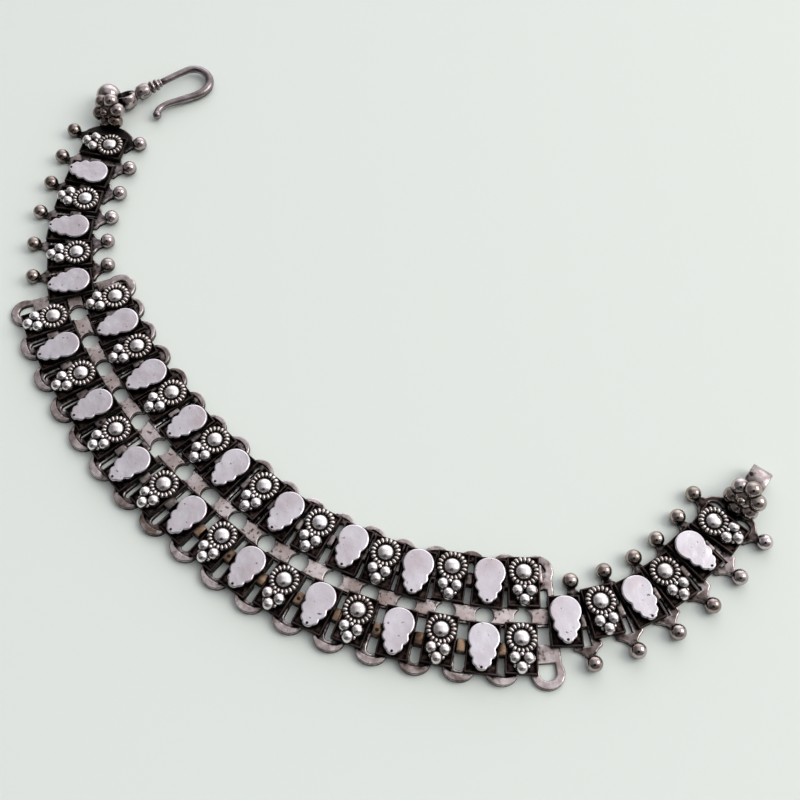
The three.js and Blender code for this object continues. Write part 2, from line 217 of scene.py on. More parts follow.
def addPlate(bm, rings, heights, finishesOf, edge, crown=()):
    # the first ring is the outline and the others are holes; finishesOf is cap, rounded edge, wall
    cap, rim, wall = finishesOf
    edges = []
    for ring in rings:
        verts = [bm.verts.new((x, y, heights[0])) for x, y in ring]
        edges += [bm.edges.new(pair) for pair in zip(verts, verts[1:] + verts[:1])]
    if len(rings) == 1:
        base = [bm.faces.new(verts)]
    else:
        filled = bmesh.ops.triangle_fill(bm, use_beauty=True, edges=edges, normal=(0, 0, 1))
        base = [g for g in filled["geom"] if isinstance(g, bmesh.types.BMFace)]
    raised = bmesh.ops.extrude_face_region(bm, geom=base)["geom"]
    lid = [g for g in raised if isinstance(g, bmesh.types.BMFace)]
    lidVerts = once(v for f in lid for v in f.verts)
    bmesh.ops.translate(bm, verts=lidVerts, vec=(0, 0, heights[1] - heights[0]))
    dress(base, wall, smooth=False)
    dress(facesOf(lidVerts), wall)
    dress(lid, cap, smooth=False)
    lidSet = set(lid)
    lidEdges = once(e for f in lid for e in f.edges)
    border = [e for e in lidEdges if sum(f in lidSet for f in e.link_faces) == 1]
    rounded = bmesh.ops.bevel(bm, geom=border, offset=edge, segments=3, profile=0.5, affect="EDGES",
                              material=-1)
    dress(rounded["faces"], rim)
    inner = [f for f in lid if f.is_valid]
    for thickness, depth in crown:
        ring = bmesh.ops.inset_region(bm, faces=inner, thickness=thickness, depth=depth, use_even_offset=True)
        dress(ring["faces"], cap)


cornerLimit = 100000  # more than the corners of any pattern


def cornerOrder(face):
    # one number made of the three lowest corners, which no two faces of a pattern share
    first, second, third = sorted(vert.index for vert in face.verts)[:3]
    return (first * cornerLimit + second) * cornerLimit + third


def stamped(bm):
    bmesh.ops.recalc_face_normals(bm, faces=bm.faces)
    # balls, extrusions and turned forms come with their faces in another order on each run
    bm.verts.index_update()
    bm.faces.sort(key=cornerOrder)
    mesh = bpy.data.meshes.new("pattern")
    bm.to_mesh(mesh)
    bm.free()
    return mesh


def place(x, y, heading, offset=0.0):
    turned = Matrix.Translation((x, y, 0)) @ Matrix.Rotation(heading, 4, "Z")
    return turned @ Matrix.Translation((0, offset, 0))


def finishPiece(name, parts, replaced):
    # parts are pairs of a pattern and its place, in millimetres
    bm = bmesh.new()
    for pattern, matrix in parts:
        start = len(bm.verts)
        bm.from_mesh(pattern)
        bm.verts.ensure_lookup_table()
        bmesh.ops.transform(bm, matrix=matrix, verts=bm.verts[start:])
    bmesh.ops.scale(bm, vec=(mm, mm, mm), verts=bm.verts)
    used = sorted({face.material_index for face in bm.faces})
    for face in bm.faces:
        face.material_index = used.index(face.material_index)
    mesh = bpy.data.meshes.new(name)
    bm.to_mesh(mesh)
    bm.free()
    for index in used:
        mesh.materials.append(finishes[finishOrder[index]])
    piece = bpy.data.objects.new(name, mesh)
    bpy.context.scene.collection.objects.link(piece)
    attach(piece, "root")
    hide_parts(*replaced)


# the same walk along the strap as the solids take; headings and turns in degrees
strapLay = {
    "pitch": 6.0, "rowOffset": 5.2, "firstColumn": (-55.4, 51.4), "firstHeading": -103.4,
    "hookSide": 6, "twoRow": 17,
    "turns": [(2, 2), (4, 8), (2, 5), (6, 3), (5, 5), (4, 4), (2, 11.5), (3, 8.5)],
}


def walkStrap(lay):
    low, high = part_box("hook_side_flower_1")
    x, y = ((Vector(low) + Vector(high)) / 2 / mm).xy
    shift = Vector((x, y)) - Vector(lay["firstColumn"])
    heading = math.radians(lay["firstHeading"])
    turns = [math.radians(turn) for count, turn in lay["turns"] for _ in range(count)]
    half = lay["pitch"] / 2
    columns = []
    joints = [(x - half * math.cos(heading), y - half * math.sin(heading), heading - turns[0] / 2)]
    for turn in turns + turns[-1:]:
        columns.append((x, y, heading))
        x, y = x + half * math.cos(heading), y + half * math.sin(heading)
        joints.append((x, y, heading + turn / 2))
        heading += turn
        x, y = x + half * math.cos(heading), y + half * math.sin(heading)
    return columns, joints, shift


columns, joints, shift = walkStrap(strapLay)
patterns = {}

# how far each box has slid from its even place, along the strap and across it
boxSlips = {
    "hook_side": [(-0.8, 0.2), (0, -0.2), (-0.1, -0.3), (0.3, -0.5), (-0.2, -0.1), (0, -0.4)],
    "inner": [(-0.3, 0.1), (-0.2, 0), (-0.2, -0.2), (0.1, -0.4), (-0.5, 0.1), (0, 0), (-0.2, 0.2),
              (-0.4, -0.2), (0.1, -0.1), (0.1, -0.3), (0.2, -0.1), (0.8, -0.2), (0.7, -0.4), (0.6, -0.7),
              (0.2, 0), (0.4, -0.2), (0.1, 0.3)],
    "outer": [(-0.5, -0.4), (-0.4, -0.1), (-0.6, 0), (-0.2, 0), (-0.5, -0.3), (0, -0.9), (0, -0.2),
              (0.4, 0), (0.7, 0), (0.6, -0.5), (0.2, -0.3), (0.2, -0.2), (-0.2, 0.1), (0, 0), (0.1, 0.4),
              (0.3, 0), (-0.3, 0.4)],
    "eye_side": [(0.3, -0.6), (0.2, 0.2), (0.3, -0.1), (0.1, 0.3), (0.2, 1.0), (0.4, 0.7)],
}


def slid(spot, along, across, turn=0.0):
    x, y, heading = spot
    x += along * math.cos(heading) - across * math.sin(heading)
    y += along * math.sin(heading) + across * math.cos(heading)
    return x, y, heading + math.radians(turn)


traySizes = {
    "along": 4.9, "across": 7.8, "bottom": 0.78, "top": 1.75, "lip": 0.18, "floor": 1.3, "edge": 0.08,
    "wallSlope": 0.05,  # how far the wall leans in on its way down to the floor
    "lugThick": 0.4, "lugFrom": 1.3, "lugTo": 3.5, "lugBottom": 0.05, "lugEdge": 0.06, "lugSunk": 0.1,
}


def addTray(bm, size):
    x, y = size["along"] / 2, size["across"] / 2
    outline = [(x, -y), (x, y), (-x, y), (-x, -y)]
    start = set(bm.faces)
    addPlate(bm, [outline], (size["bottom"], size["top"]), ("trayFloor", "trayLip", "oxideWall"),
             size["edge"])
    top = [f for f in bm.faces if f not in start and f.normal.z > 0.99 and len(f.verts) == 4]
    lid = max(top, key=lambda f: f.calc_area())
    lip = bmesh.ops.inset_region(bm, faces=[lid], thickness=size["lip"], depth=0)["faces"]
    dress(lip, "trayLip", smooth=False)
    # the well's walls are black, part oxide and part painted shade
    well = bmesh.ops.inset_region(bm, faces=[lid], thickness=size["wallSlope"],
                                  depth=size["floor"] - size["top"])["faces"]
    dress(well, "oxideWall", smooth=False)
    lugTop = size["bottom"] + size["lugSunk"]
    for side in (-1, 1):
        inner, outer = sorted((side * x, side * (x - size["lugThick"])))
        for near, far in ((size["lugFrom"], size["lugTo"]), (-size["lugTo"], -size["lugFrom"])):
            addBlock(bm, (inner, near, size["lugBottom"]), (outer, far, lugTop), "oxideWall",
                     size["lugEdge"])


leafSizes = {
    "bottom": 1.2, "top": 2.75, "edge": 0.24,
    "crown": [(0.1, 0.026), (0.13, 0.023), (0.15, 0.016), (0.16, 0.008)],  # steps inwards and up
    # lobes from the head to the tip: middle, half length, half width
    "lobes": [(1.25, 2.4, 2.42), (-0.95, 1.35, 2.08), (-2.35, 0.95, 1.5), (-3.05, 0.62, 0.88)],
    "samples": 46, "pit": (0.22, 0.22, 0.06), "pitFromTip": 0.5, "pitRise": 0.03,
}


def leafOutline(lobes, samples):
    high = max(middle + length for middle, length, _ in lobes)
    low = min(middle - length for middle, length, _ in lobes)
    right = []
    for i in range(1, samples):
        y = (high + low) / 2 - (high - low) / 2 * math.cos(math.pi * i / samples)
        widths = [width * math.sqrt(max(0, 1 - ((y - middle) / length) ** 2))
                  for middle, length, width in lobes]
        right.append((max(widths), y))
    left = [(-x, y) for x, y in reversed(right)]
    return [(0, low), *right, (0, high), *left]


def leafPattern():
    bm = bmesh.new()
    size = leafSizes
    addTray(bm, traySizes)
    outline = leafOutline(size["lobes"], size["samples"])
    # the plate's walls are black, part oxide and part painted shade below the plate
    addPlate(bm, [outline], (size["bottom"], size["top"]), ("polishedLeaf", "polishedLeaf", "oxideWall"),
             size["edge"], size["crown"])
    tip = outline[0][1]
    pitAt = (0, tip + size["pitFromTip"], size["top"] + size["pitRise"])
    addBall(bm, pitAt, size["pit"], "oxideWall", 10)
    return stamped(bm)


flowerSizes = {
    "y": 1.35, "seatRadius": 2.42, "seatBottom": 1.2, "seatTop": 2.15, "seatEdge": 0.12,
    "beads": 19, "beadRing": 1.93, "bead": (0.5, 0.32, 0.4), "beadHeight": 2.18,
    "dome": (1.28, 1.28, 0.8), "domeHeight": 2.2,
    "grape": 0.97, "grapeHeight": 2.15, "grapes": [(-1.04, -1.6), (1.04, -1.6), (0, -3.0)],
    "crumb": 0.36, "crumbs": [(0, -1.15, 2.6), (-0.95, -2.75, 2.0), (0.95, -2.75, 2.0)],
}


def flowerPattern():
    bm = bmesh.new()
    size = flowerSizes
    addTray(bm, traySizes)
    seat = circle((0, size["y"]), [size["seatRadius"]] * 2, 36)
    # the seat's top between dome and beads is black, part oxide and part painted shade
    addPlate(bm, [seat], (size["seatBottom"], size["seatTop"]), ("oxideWall", "trayLip", "oxideWall"),
             size["seatEdge"])
    for i in range(size["beads"]):
        angle = 2 * math.pi * (i + 0.5) / size["beads"]
        x, y = size["beadRing"] * math.cos(angle), size["y"] + size["beadRing"] * math.sin(angle)
        addBall(bm, (x, y, size["beadHeight"]), size["bead"], "beadRing", 10, angle)
    addBall(bm, (0, size["y"], size["domeHeight"]), size["dome"], "rubbedShot", 24)
    for x, y in size["grapes"]:
        addBall(bm, (x, y, size["grapeHeight"]), [size["grape"]] * 3, "rubbedShot", 18)
    for crumb in size["crumbs"]:
        addBall(bm, crumb, [size["crumb"]] * 3, "rubbedShot", 8)
    return stamped(bm)


patterns["flower"] = flowerPattern()
patterns["leaf"] = leafPattern()


def addRow(rowName, spots, firstKind, offset):
    counts = {"flower": 0, "leaf": 0}
    kinds = ["flower", "leaf"] if firstKind == "flower" else ["leaf", "flower"]
    for i, (spot, slip) in enumerate(zip(spots, boxSlips[rowName])):
        kind = kinds[i % 2]
        counts[kind] += 1
        node = f"{rowName}_{kind}_{counts[kind]}"
        # set by hand, so never quite square
        lean = Matrix.Rotation(math.radians(random.uniform(-1.5, 1.5)), 4, "Z")
        part = (patterns[kind], place(*slid(spot, *slip), offset) @ lean)
        finishPiece(node + "_box", [part], [node])


twoRowFrom = strapLay["hookSide"]
twoRowTo = twoRowFrom + strapLay["twoRow"]
addRow("hook_side", columns[:twoRowFrom], "flower", 0)
addRow("inner", columns[twoRowFrom:twoRowTo], "flower", strapLay["rowOffset"])
addRow("outer", columns[twoRowFrom:twoRowTo], "flower", -strapLay["rowOffset"])
addRow("eye_side", columns[twoRowTo:], "leaf", 0)
print("boxes set")

linkSizes = {
    "thick": 0.7, "half": 2.2, "sideFrom": 0.6, "holeHalf": 0.8, "bar": 1.0, "edge": 0.25,
    "sunk": 0.1,  # how far what sits on a strip reaches into it
    "innerReach": 5.5, "outerReach": 5.9, "band": 1.75,
    "waistCentre": 3.0, "waistRadius": 1.447, "flare": 1.25, "holeFrom": 1.55,
    "padTop": 0.95, "padScale": 0.96, "padEdge": 0.12,
    "knuckleLong": 2.0, "knuckleTop": 1.75, "outerKnuckle": 1.45, "innerKnuckle": 1.0, "knuckleShift": 0,
    "knuckleEdge": 0.2,
    "innerFinish": "linkPlate", "outerFinish": "bronzeKnuckle",
    "innerHole": 0.35, "innerCrest": (2.2, 2.2), "outerCrest": (2.5, 2.2), "crestTurn": 0, "holeStart": 1.0,
    "cap": "linkPlate", "eyelet": False, "eyeletPit": (0.3, 0.3, 0.08), "eyeletShift": -0.1,
    "innerRoll": (0.4, 0.85), "outerRoll": (0.45, 1.25),  # width at the tips, in the middle
    "rollTop": 1.0, "rollEdge": 0.18, "wire": 0.3, "wireLift": 0.05,
}
# what the strips of each stretch have of their own
stripKinds = {
    "twoRowClose": {"holeHalf": 0.5, "outerFinish": "linkPlate"},
    "twoRow": {"innerReach": 5.15, "outerReach": 5.65, "innerHole": 0.5},
    "twoRowShort": {"innerReach": 4.75, "outerReach": 5.3, "innerHole": 0.5},
    "twoRowRinged": {
        "band": 1.4, "innerCrest": (2.6, 2.6), "outerCrest": (2.6, 2.6), "crestTurn": 30,
        "holeHalf": 1.25, "innerHole": 1.25, "holeStart": 1.9, "outerKnuckle": 0, "innerKnuckle": 1.5,
        "knuckleLong": 3.0, "knuckleShift": 1.4, "knuckleTop": 1.2, "innerFinish": "linkEdge",
        "cap": "linkEdge", "innerRoll": None, "outerRoll": None},
}
stripKinds["twoRowRingedShort"] = {**stripKinds["twoRowRinged"], "innerReach": 4.6}
flangeSizes = {
    "holeTo": 3.6, "shoulder": [(2.2, 3.9), (1.45, 4.35), (0.95, 4.85)],  # half width, distance
    "half": 0.6, "end": 5.4, "neck": 6.2, "ballAt": 6.5, "ball": 1.28,
}


def roundSlot(halfWidth, start, end):
    return [(halfWidth, start), *arc((0, end - halfWidth), [halfWidth] * 2, 0, 180, 12), (-halfWidth, start)]


def squareSlot(halfWidth, start, end):
    return [(halfWidth, start), (halfWidth, end), (-halfWidth, end), (-halfWidth, start)]


def addKnuckle(bm, size, y, width, finish, eyelet=False):
    half = size["knuckleLong"] / 2
    if width:
        addBlock(bm, (-width / 2, y - half, size["thick"] - size["sunk"]),
                 (width / 2, y + half, size["knuckleTop"]), finish, size["knuckleEdge"])
    if eyelet:
        addBall(bm, (0, y + size["eyeletShift"], size["knuckleTop"]), size["eyeletPit"], "oxideWall", 12)


def twoRowPattern(changes):
    bm = bmesh.new()
    size = {**linkSizes, **changes}
    row = strapLay["rowOffset"]
    spread = math.degrees(math.asin(size["flare"] / size["waistRadius"]))
    waistLeft = arc((-size["waistCentre"], 0), [size["waistRadius"]] * 2, spread, -spread, 10)
    waistRight = [(-x, y) for x, y in reversed(waistLeft)]
    crests, holes, rolls = [], [], []
    for side, holeHalf in (("inner", size["innerHole"]), ("outer", size["holeHalf"])):
        end = row + size[side + "Reach"]
        turn = size["crestTurn"]
        crest = size[side + "Crest"]
        middle = (0, end - crest[1])
        rings = [arc(middle, crest, -turn, 180 + turn, 18),
                 roundSlot(holeHalf, row + size["holeStart"], end - size["band"]),
                 squareSlot(holeHalf, size["holeFrom"], row - size["bar"])]
        if size[side + "Roll"]:
            # the end of the strip is rolled over into a crescent
            tipWide, middleWide = size[side + "Roll"]
            inside = arc(middle, (crest[0] - tipWide, crest[1] - middleWide), 180, 0, 12)
            rings.append(arc(middle, crest, 0, 180, 18) + inside)
        if side == "outer":
            rings = [mirrored(ring) for ring in rings]
        crests.append(rings[0])
        holes += rings[1:3]
        rolls += rings[3:]
    outline = crests[0] + waistLeft + crests[1] + waistRight
    addPlate(bm, [outline, *holes], (0, size["thick"]), (size["cap"], "linkEdge", "linkPlate"), size["edge"])
    seat = size["thick"] - size["sunk"]
    for roll in rolls:
        addPlate(bm, [roll], (seat, size["rollTop"]), ("linkEdge", "linkEdge", "linkPlate"),
                 size["rollEdge"])
    pad = [(x * size["padScale"], y * size["padScale"]) for x, y in waistLeft + waistRight]
    addPlate(bm, [pad], (seat, size["padTop"]), ("middlePlate", "middlePlate", "oxideWall"),
             size["padEdge"])
    addKnuckle(bm, size, row + size["knuckleShift"], size["innerKnuckle"], size["innerFinish"])
    addKnuckle(bm, size, -row, size["outerKnuckle"], size["outerFinish"], size["eyelet"])
    return stamped(bm)


def addEndBalls(bm, finishesOf):
    size = flangeSizes
    for side, finish in zip((1, -1), finishesOf):
        addBall(bm, (0, side * size["ballAt"], size["ball"]), [size["ball"]] * 3, finish, 24)


def flangeEdge(side):
    # from the flange's shoulder to its neck beside the ball
    size = flangeSizes
    widths = [*size["shoulder"], (size["half"], size["end"]), (size["half"], size["neck"])]
    return [(side * x, y) for x, y in widths]


def oneRowPattern(holeHalf, ballFinishes):
    bm = bmesh.new()
    size = linkSizes
    half = [(size["half"], size["sideFrom"]), *flangeEdge(1), *reversed(flangeEdge(-1)),
            (-size["half"], size["sideFrom"])]
    hole = squareSlot(holeHalf, size["bar"], flangeSizes["holeTo"])
    strip = ("linkPlate", "linkEdge", "linkPlate")
    addPlate(bm, [half + mirrored(half), hole, mirrored(hole)], (0, size["thick"]), strip, size["edge"])
    addKnuckle(bm, size, 0, size["innerKnuckle"], "linkPlate")
    addEndBalls(bm, ballFinishes)
    return stamped(bm)


archSizes = {"bow": (3.25, 5.0), "back": -2.0, "shoulder": 4.2}
archHoles = {"hook": ((-0.35, 2.4), (0.9, 1.3)), "eye": ((0.25, 2.45), (1.2, 1.4))}  # middle, radii


def archPattern(middle, radii, cap, ballFinishes):
    bm = bmesh.new()
    size = archSizes
    bow = arc((0, 0), size["bow"], 0, 72, 9)
    # the bow runs into the flange below its shoulder
    half = [*bow, *flangeEdge(1)[3:], *reversed(flangeEdge(-1)[2:]), (size["back"], size["shoulder"])]
    outline = half + [(x, -y) for x, y in reversed(half[1:])]
    hole = circle(middle, radii, 20)
    addPlate(bm, [outline, hole, mirrored(hole)], (0, linkSizes["thick"]), (cap, "linkPlate", cap),
             linkSizes["edge"])
    addEndBalls(bm, ballFinishes)
    return stamped(bm)


def wirePattern(length):
    bm = bmesh.new()
    radius = linkSizes["wire"]
    raised = Matrix.Translation((0, 0, radius + linkSizes["wireLift"]))
    matrix = raised @ Matrix.Rotation(math.pi / 2, 4, "Y")
    made = bmesh.ops.create_cone(bm, cap_ends=True, segments=12, radius1=radius, radius2=radius, depth=length,
                                 matrix=matrix)
    dress(facesOf(made["verts"]), "oxideWall")
    return stamped(bm)


for kind, changes in stripKinds.items():
    patterns[kind] = twoRowPattern(changes)
    patterns[kind + "Eyelet"] = twoRowPattern({**changes, "eyelet": True})


def threadWires(spots, offset):
    # round wire strings a stretch of strips together under the boxes
    wires = []
    for first, second in zip(spots, spots[1:]):
        ends = [place(*spot, offset).translation for spot in (first, second)]
        span = ends[1] - ends[0]
        middle = (ends[0] + ends[1]) / 2
        wires.append((wirePattern(span.length), place(middle.x, middle.y, math.atan2(span.y, span.x))))
    return wires


# a strip sits midway between the boxes that it joins
rowSlips = [(Vector(inner) + Vector(outer)) / 2 for inner, outer in zip(boxSlips["inner"], boxSlips["outer"])]
neighbours = zip(rowSlips[:1] + rowSlips, rowSlips + rowSlips[-1:])
stripSlips = [(before + after) / 2 for before, after in neighbours]
twoRowJoints = [slid(spot, *slip) for spot, slip in zip(joints[twoRowFrom:twoRowTo + 1], stripSlips)]
twoRowKinds = ["twoRowClose"] * 8 + ["twoRow"] * 5 + ["twoRowShort"] * 5
twoRowKinds[0] = "twoRowRinged"
twoRowKinds[-1] = "twoRowRingedShort"
for i in (4, 9, 11, 13):
    twoRowKinds[i] += "Eyelet"
endTurn = math.radians(3.5)  # the last strip has slipped round a little
for first in range(0, len(twoRowJoints), 3):
    spots = twoRowJoints[first:first + 3]
    links = [(patterns[kind], place(*spot)) for kind, spot in zip(twoRowKinds[first:first + 3], spots)]
    if first + 3 == len(twoRowJoints):
        pattern, matrix = links[-1]
        links[-1] = (pattern, matrix @ Matrix.Rotation(endTurn, 4, "Z"))
    for offset in (-strapLay["rowOffset"], strapLay["rowOffset"]):
        links += threadWires(spots, offset)
    node = f"two_row_links_{first // 3 + 1}"
    finishPiece(node + "_pierced", links, [node])

x, y, heading = joints[0]
hookEnd = (x, y, heading + math.pi)
# slips of the strips by the eye: along, across, turn
eyeSlips = [(-0.2, -0.7, 4.9), (-0.1, -0.3, 0), (-0.1, -0.3, -3.2), (-0.2, 0.1, -1.9), (-0.3, 0.4, -5),
            (-0.15, 0.6, -2.7)]
eyeSpots = [slid(spot, *slip) for spot, slip in zip(joints[twoRowTo + 1:], eyeSlips)]
oneRowSpots = {"hook_side": [hookEnd, *joints[1:twoRowFrom]], "eye_side": eyeSpots}
slitHalf = {"hook_side": 0.2, "eye_side": 0.55}  # half the width of the slots in the one-row strips
# the ball at the inner edge of the curve, then the one at the outer edge
shotFinishes = {"hook_side": ("burnishedShot", "darkerShot"),
                "eye_side": ("darkerShot", "burnishedShot")}
# the hook's end arch is laid in black as painted shade under the clasp
endArch = {"hook_side": archPattern(*archHoles["hook"], "oxideWall", shotFinishes["eye_side"]),
           "eye_side": archPattern(*archHoles["eye"], "trayLip", shotFinishes["eye_side"])}
for side, spots in oneRowSpots.items():
    strip = oneRowPattern(slitHalf[side], shotFinishes[side])
    for number, part in ((1, spots[:3]), (2, spots[3:])):
        links = [(endArch[side] if spot in (hookEnd, eyeSpots[-1]) else strip, place(*spot)) for spot in part]
        node = f"{side}_links_{number}"
        finishPiece(node + "_pierced", links + threadWires(part, 0), [node])
print("cross links set")

rosetteSizes = {
    "height": 2.9, "core": (2.2, 2.2, 1.9), "petals": 6, "ring": 2.1, "petal": 1.42, "petalHeight": 0.5,
    "button": 0.75, "buttonHeight": 1.75, "pit": (0.2, 0.2, 0.08), "lean": 56,
}


def rosettePattern(shadedPetals):
    # leans towards its own -x
    bm = bmesh.new()
    size = rosetteSizes
    addBall(bm, (0, 0, 0), size["core"], "darkerShot", 24)
    for i in range(size["petals"]):
        angle = 2 * math.pi * i / size["petals"]
        x, y = size["ring"] * math.cos(angle), size["ring"] * math.sin(angle)
        # the listed petals take the darker copy of the ball finish as painted shade
        finish = "darkerShot" if i in shadedPetals else "burnishedShot"
        addBall(bm, (x, y, size["petalHeight"]), [size["petal"]] * 3, finish, 24)
    addBall(bm, (0, 0, size["buttonHeight"]), [size["button"]] * 3, "darkerShot", 16)
    addBall(bm, (0, 0, size["buttonHeight"] + size["button"]), size["pit"], "oxideWall", 10)
    lean = Matrix.Translation((0, 0, size["height"])) @ Matrix.Rotation(-math.radians(size["lean"]), 4, "Y")
    bmesh.ops.transform(bm, matrix=lean, verts=bm.verts)
    return stamped(bm)


hookBeadSizes = {"x": -54.2, "y": 59.1, "heading": 103, "leanHeading": 56, "domeReach": 4.3, "dome": 2.3,
                 "shadedPetals": (2, 3, 4)}


def domePattern():
    bm = bmesh.new()
    size = hookBeadSizes
    addBall(bm, (size["domeReach"], 0, size["dome"]), [size["dome"]] * 3, "burnishedShot", 32)
    return stamped(bm)


x, y = hookBeadSizes["x"] + shift.x, hookBeadSizes["y"] + shift.y
rosetteAt = place(x, y, math.radians(hookBeadSizes["leanHeading"]))
domeAt = place(x, y, math.radians(hookBeadSizes["heading"]))
hookRosette = rosettePattern(hookBeadSizes["shadedPetals"])
finishPiece("hook_bead_rosette", [(hookRosette, rosetteAt), (domePattern(), domeAt)], ["hook_bead"])

eyeSizes = {
    "rosette": 3.6, "leanHeading": 40, "loop": 7.6, "wide": 3.4, "long": 4.9, "tall": 3.4, "wall": 0.6,
    "edge": 0.28, "dimpleAt": (-0.1, 1.3), "dimple": (0.34, 0.34, 0.1),
    # the soldered bar from the rosette into the band
    "bar": 1.2, "barFrom": 0.5, "barInto": 0.4, "barBottom": 1.2, "barTop": 2.4, "barEdge": 0.2,
    "shadedPetals": (0, 2, 3, 4, 5),
}


def eyeBandPattern():
    bm = bmesh.new()
    size = eyeSizes
    halfLong, halfTall, wide = size["long"] / 2, size["tall"] / 2, size["wide"]
    outside = circle((0, 0), (halfLong, halfTall), 40)
    inside = circle((0, 0), (halfLong - size["wall"], halfTall - size["wall"]), 40)
    addPlate(bm, [outside, inside], (-wide / 2, wide / 2), ["linkEdge"] * 3, size["edge"])
    bmesh.ops.rotate(bm, matrix=Matrix.Rotation(math.pi / 2, 3, "X"), verts=bm.verts)
    away = size["loop"] - size["rosette"]
    bmesh.ops.translate(bm, verts=bm.verts, vec=(away, 0, halfTall))
    x, y = size["dimpleAt"]
    addBall(bm, (away + x, y, size["tall"]), size["dimple"], "oxideWall", 12)
    halfBar = size["bar"] / 2
    addBlock(bm, (size["barFrom"], -halfBar, size["barBottom"]),
             (away - halfLong + size["barInto"], halfBar, size["barTop"]), "linkPlate", size["barEdge"])
    return stamped(bm)


x, y, heading = joints[-1]
out = eyeSizes["rosette"]
x, y = x + out * math.cos(heading), y + out * math.sin(heading)
rosetteAt = place(x, y, math.radians(eyeSizes["leanHeading"]))
eyeRosette = rosettePattern(eyeSizes["shadedPetals"])
finishPiece("eye_bead_rosette", [(eyeRosette, rosetteAt), (eyeBandPattern(), place(x, y, heading))],
            ["eye_bead"])

hookSizes = {
    "x": -51.65, "y": 62.75, "height": 2.0, "heading": 36, "pitch": 1.5, "roll": 8,
    # cup, from its foot to the bottom of its hollow, and stem, from the cup: distance, radius
    "cup": [(-1.75, 0), (-1.62, 0.65), (-1.25, 1.22), (-0.65, 1.62), (0, 1.75), (0.6, 1.72), (0.85, 1.62),
            (0.95, 1.48), (0.85, 1.35), (0.3, 1.3), (-0.4, 1.05), (-0.85, 0.6), (-1.0, 0)], "cupScale": 1.12,
    "cupTurn": 84, "cupTip": 38,  # the way that the hollow faces from the stem, and its tip from upright
    "stem": [(0.9, 0), (0.9, 1.0), (1.4, 0.95), (1.75, 0.82), (2.0, 0.8), (2.25, 1.05), (2.5, 1.3),
             (3.1, 1.42), (3.9, 1.42), (4.5, 1.28), (4.7, 1.0), (4.8, 0.85), (4.95, 0.85), (5.05, 1.0),
             (5.2, 1.17), (5.55, 1.17), (5.7, 1.0), (5.8, 0.8), (5.95, 0.8), (6.05, 0.95), (6.2, 1.08),
             (6.5, 1.08), (6.65, 0.95), (6.75, 0.75), (6.9, 0.72), (7.0, 0.8), (7.25, 0.8), (7.4, 0.6),
             (7.4, 0)],
    "wireFrom": 6.6, "wire": 0.68, "startThick": 0.92, "turnPerStep": 12, "tip": 0.82,
    # stretches of wire: length, turn in degrees, thickness at its end
    "bends": [(6.0, -2, 0.95), (2.2, -36, 1.05), (6.2, -124, 1.25), (2.6, -30, 1.15), (4.6, -2, 0.98),
              (2.2, 22, 0.92), (2.0, 50, 1.05)],
}


def hookPath(size):
    x, y, heading, thick = size["wireFrom"], 0.0, 0.0, size["startThick"]
    points = [(x, y, thick)]
    for length, turn, endThick in size["bends"]:
        steps = max(2, round(abs(turn) / size["turnPerStep"]))
        for i in range(1, steps + 1):
            heading += math.radians(turn / steps / 2)
            x, y = x + length / steps * math.cos(heading), y + length / steps * math.sin(heading)
            heading += math.radians(turn / steps / 2)
            points.append((x, y, thick + (endThick - thick) * i / steps))
        thick = endThick
    return points


def turnedPattern(profile, turn=None):
    bm = bmesh.new()
    verts = [bm.verts.new((x, 0, radius)) for x, radius in profile]
    edges = [bm.edges.new(pair) for pair in zip(verts, verts[1:])]
    bmesh.ops.spin(bm, geom=verts + edges, cent=(0, 0, 0), axis=(1, 0, 0), angle=2 * math.pi, steps=32,
                   use_merge=True, use_duplicate=False)
    bmesh.ops.remove_doubles(bm, verts=bm.verts, dist=1e-4)
    bmesh.ops.recalc_face_normals(bm, faces=bm.faces)
    dress(bm.faces, "burnishedShot")
    # the cup's hollow is black, part oxide and part painted shade
    inward = [f for f in bm.faces if f.normal.yz.dot(f.calc_center_median().yz) < 0]
    dress(inward, "oxideWall")
    if turn:
        bmesh.ops.transform(bm, matrix=turn, verts=bm.verts)
    return stamped(bm)


def hookWirePattern():
    size = hookSizes
    points = hookPath(size)
    curve = bpy.data.curves.new("wire", "CURVE")
    curve.dimensions = "3D"
    curve.bevel_depth = size["wire"]
    curve.bevel_resolution = 6
    curve.use_fill_caps = True
    line = curve.splines.new("NURBS")
    line.points.add(len(points) - 1)
    for point, (x, y, thick) in zip(line.points, points):
        point.co = (x, y, 0, 1)
        point.radius = thick
    line.order_u = 4
    line.use_endpoint_u = True
    line.resolution_u = 4
    holder = bpy.data.objects.new("wire", curve)
    bpy.context.scene.collection.objects.link(holder)
    bpy.context.view_layer.update()
    wire = bpy.data.meshes.new_from_object(holder.evaluated_get(bpy.context.evaluated_depsgraph_get()))
    bpy.data.objects.remove(holder)
    bm = bmesh.new()
    bm.from_mesh(wire)
    bmesh.ops.remove_doubles(bm, verts=bm.verts, dist=1e-4)
    dress(bm.faces, "hookWire")
    x, y, _ = points[-1]
    addBall(bm, (x, y, 0), [size["tip"]] * 3, "hookWire", 18)
    return stamped(bm)


hookAt = Matrix.Translation((hookSizes["x"] + shift.x, hookSizes["y"] + shift.y, hookSizes["height"]))
for turn, axis in (("heading", "Z"), ("pitch", "Y"), ("roll", "X")):
    hookAt = hookAt @ Matrix.Rotation(math.radians(hookSizes[turn]), 4, axis)
cupTurn = Matrix.Rotation(math.radians(hookSizes["cupTurn"]), 4, "Z")
cupTurn = cupTurn @ Matrix.Rotation(math.radians(hookSizes["cupTip"] - 90), 4, "Y")
cupTurn = cupTurn @ Matrix.Scale(hookSizes["cupScale"], 4)
hookParts = [turnedPattern(hookSizes["cup"], cupTurn), turnedPattern(hookSizes["stem"]), hookWirePattern()]
finishPiece("hook_wire", [(part, hookAt) for part in hookParts], ["hook"])
print("clasp set")

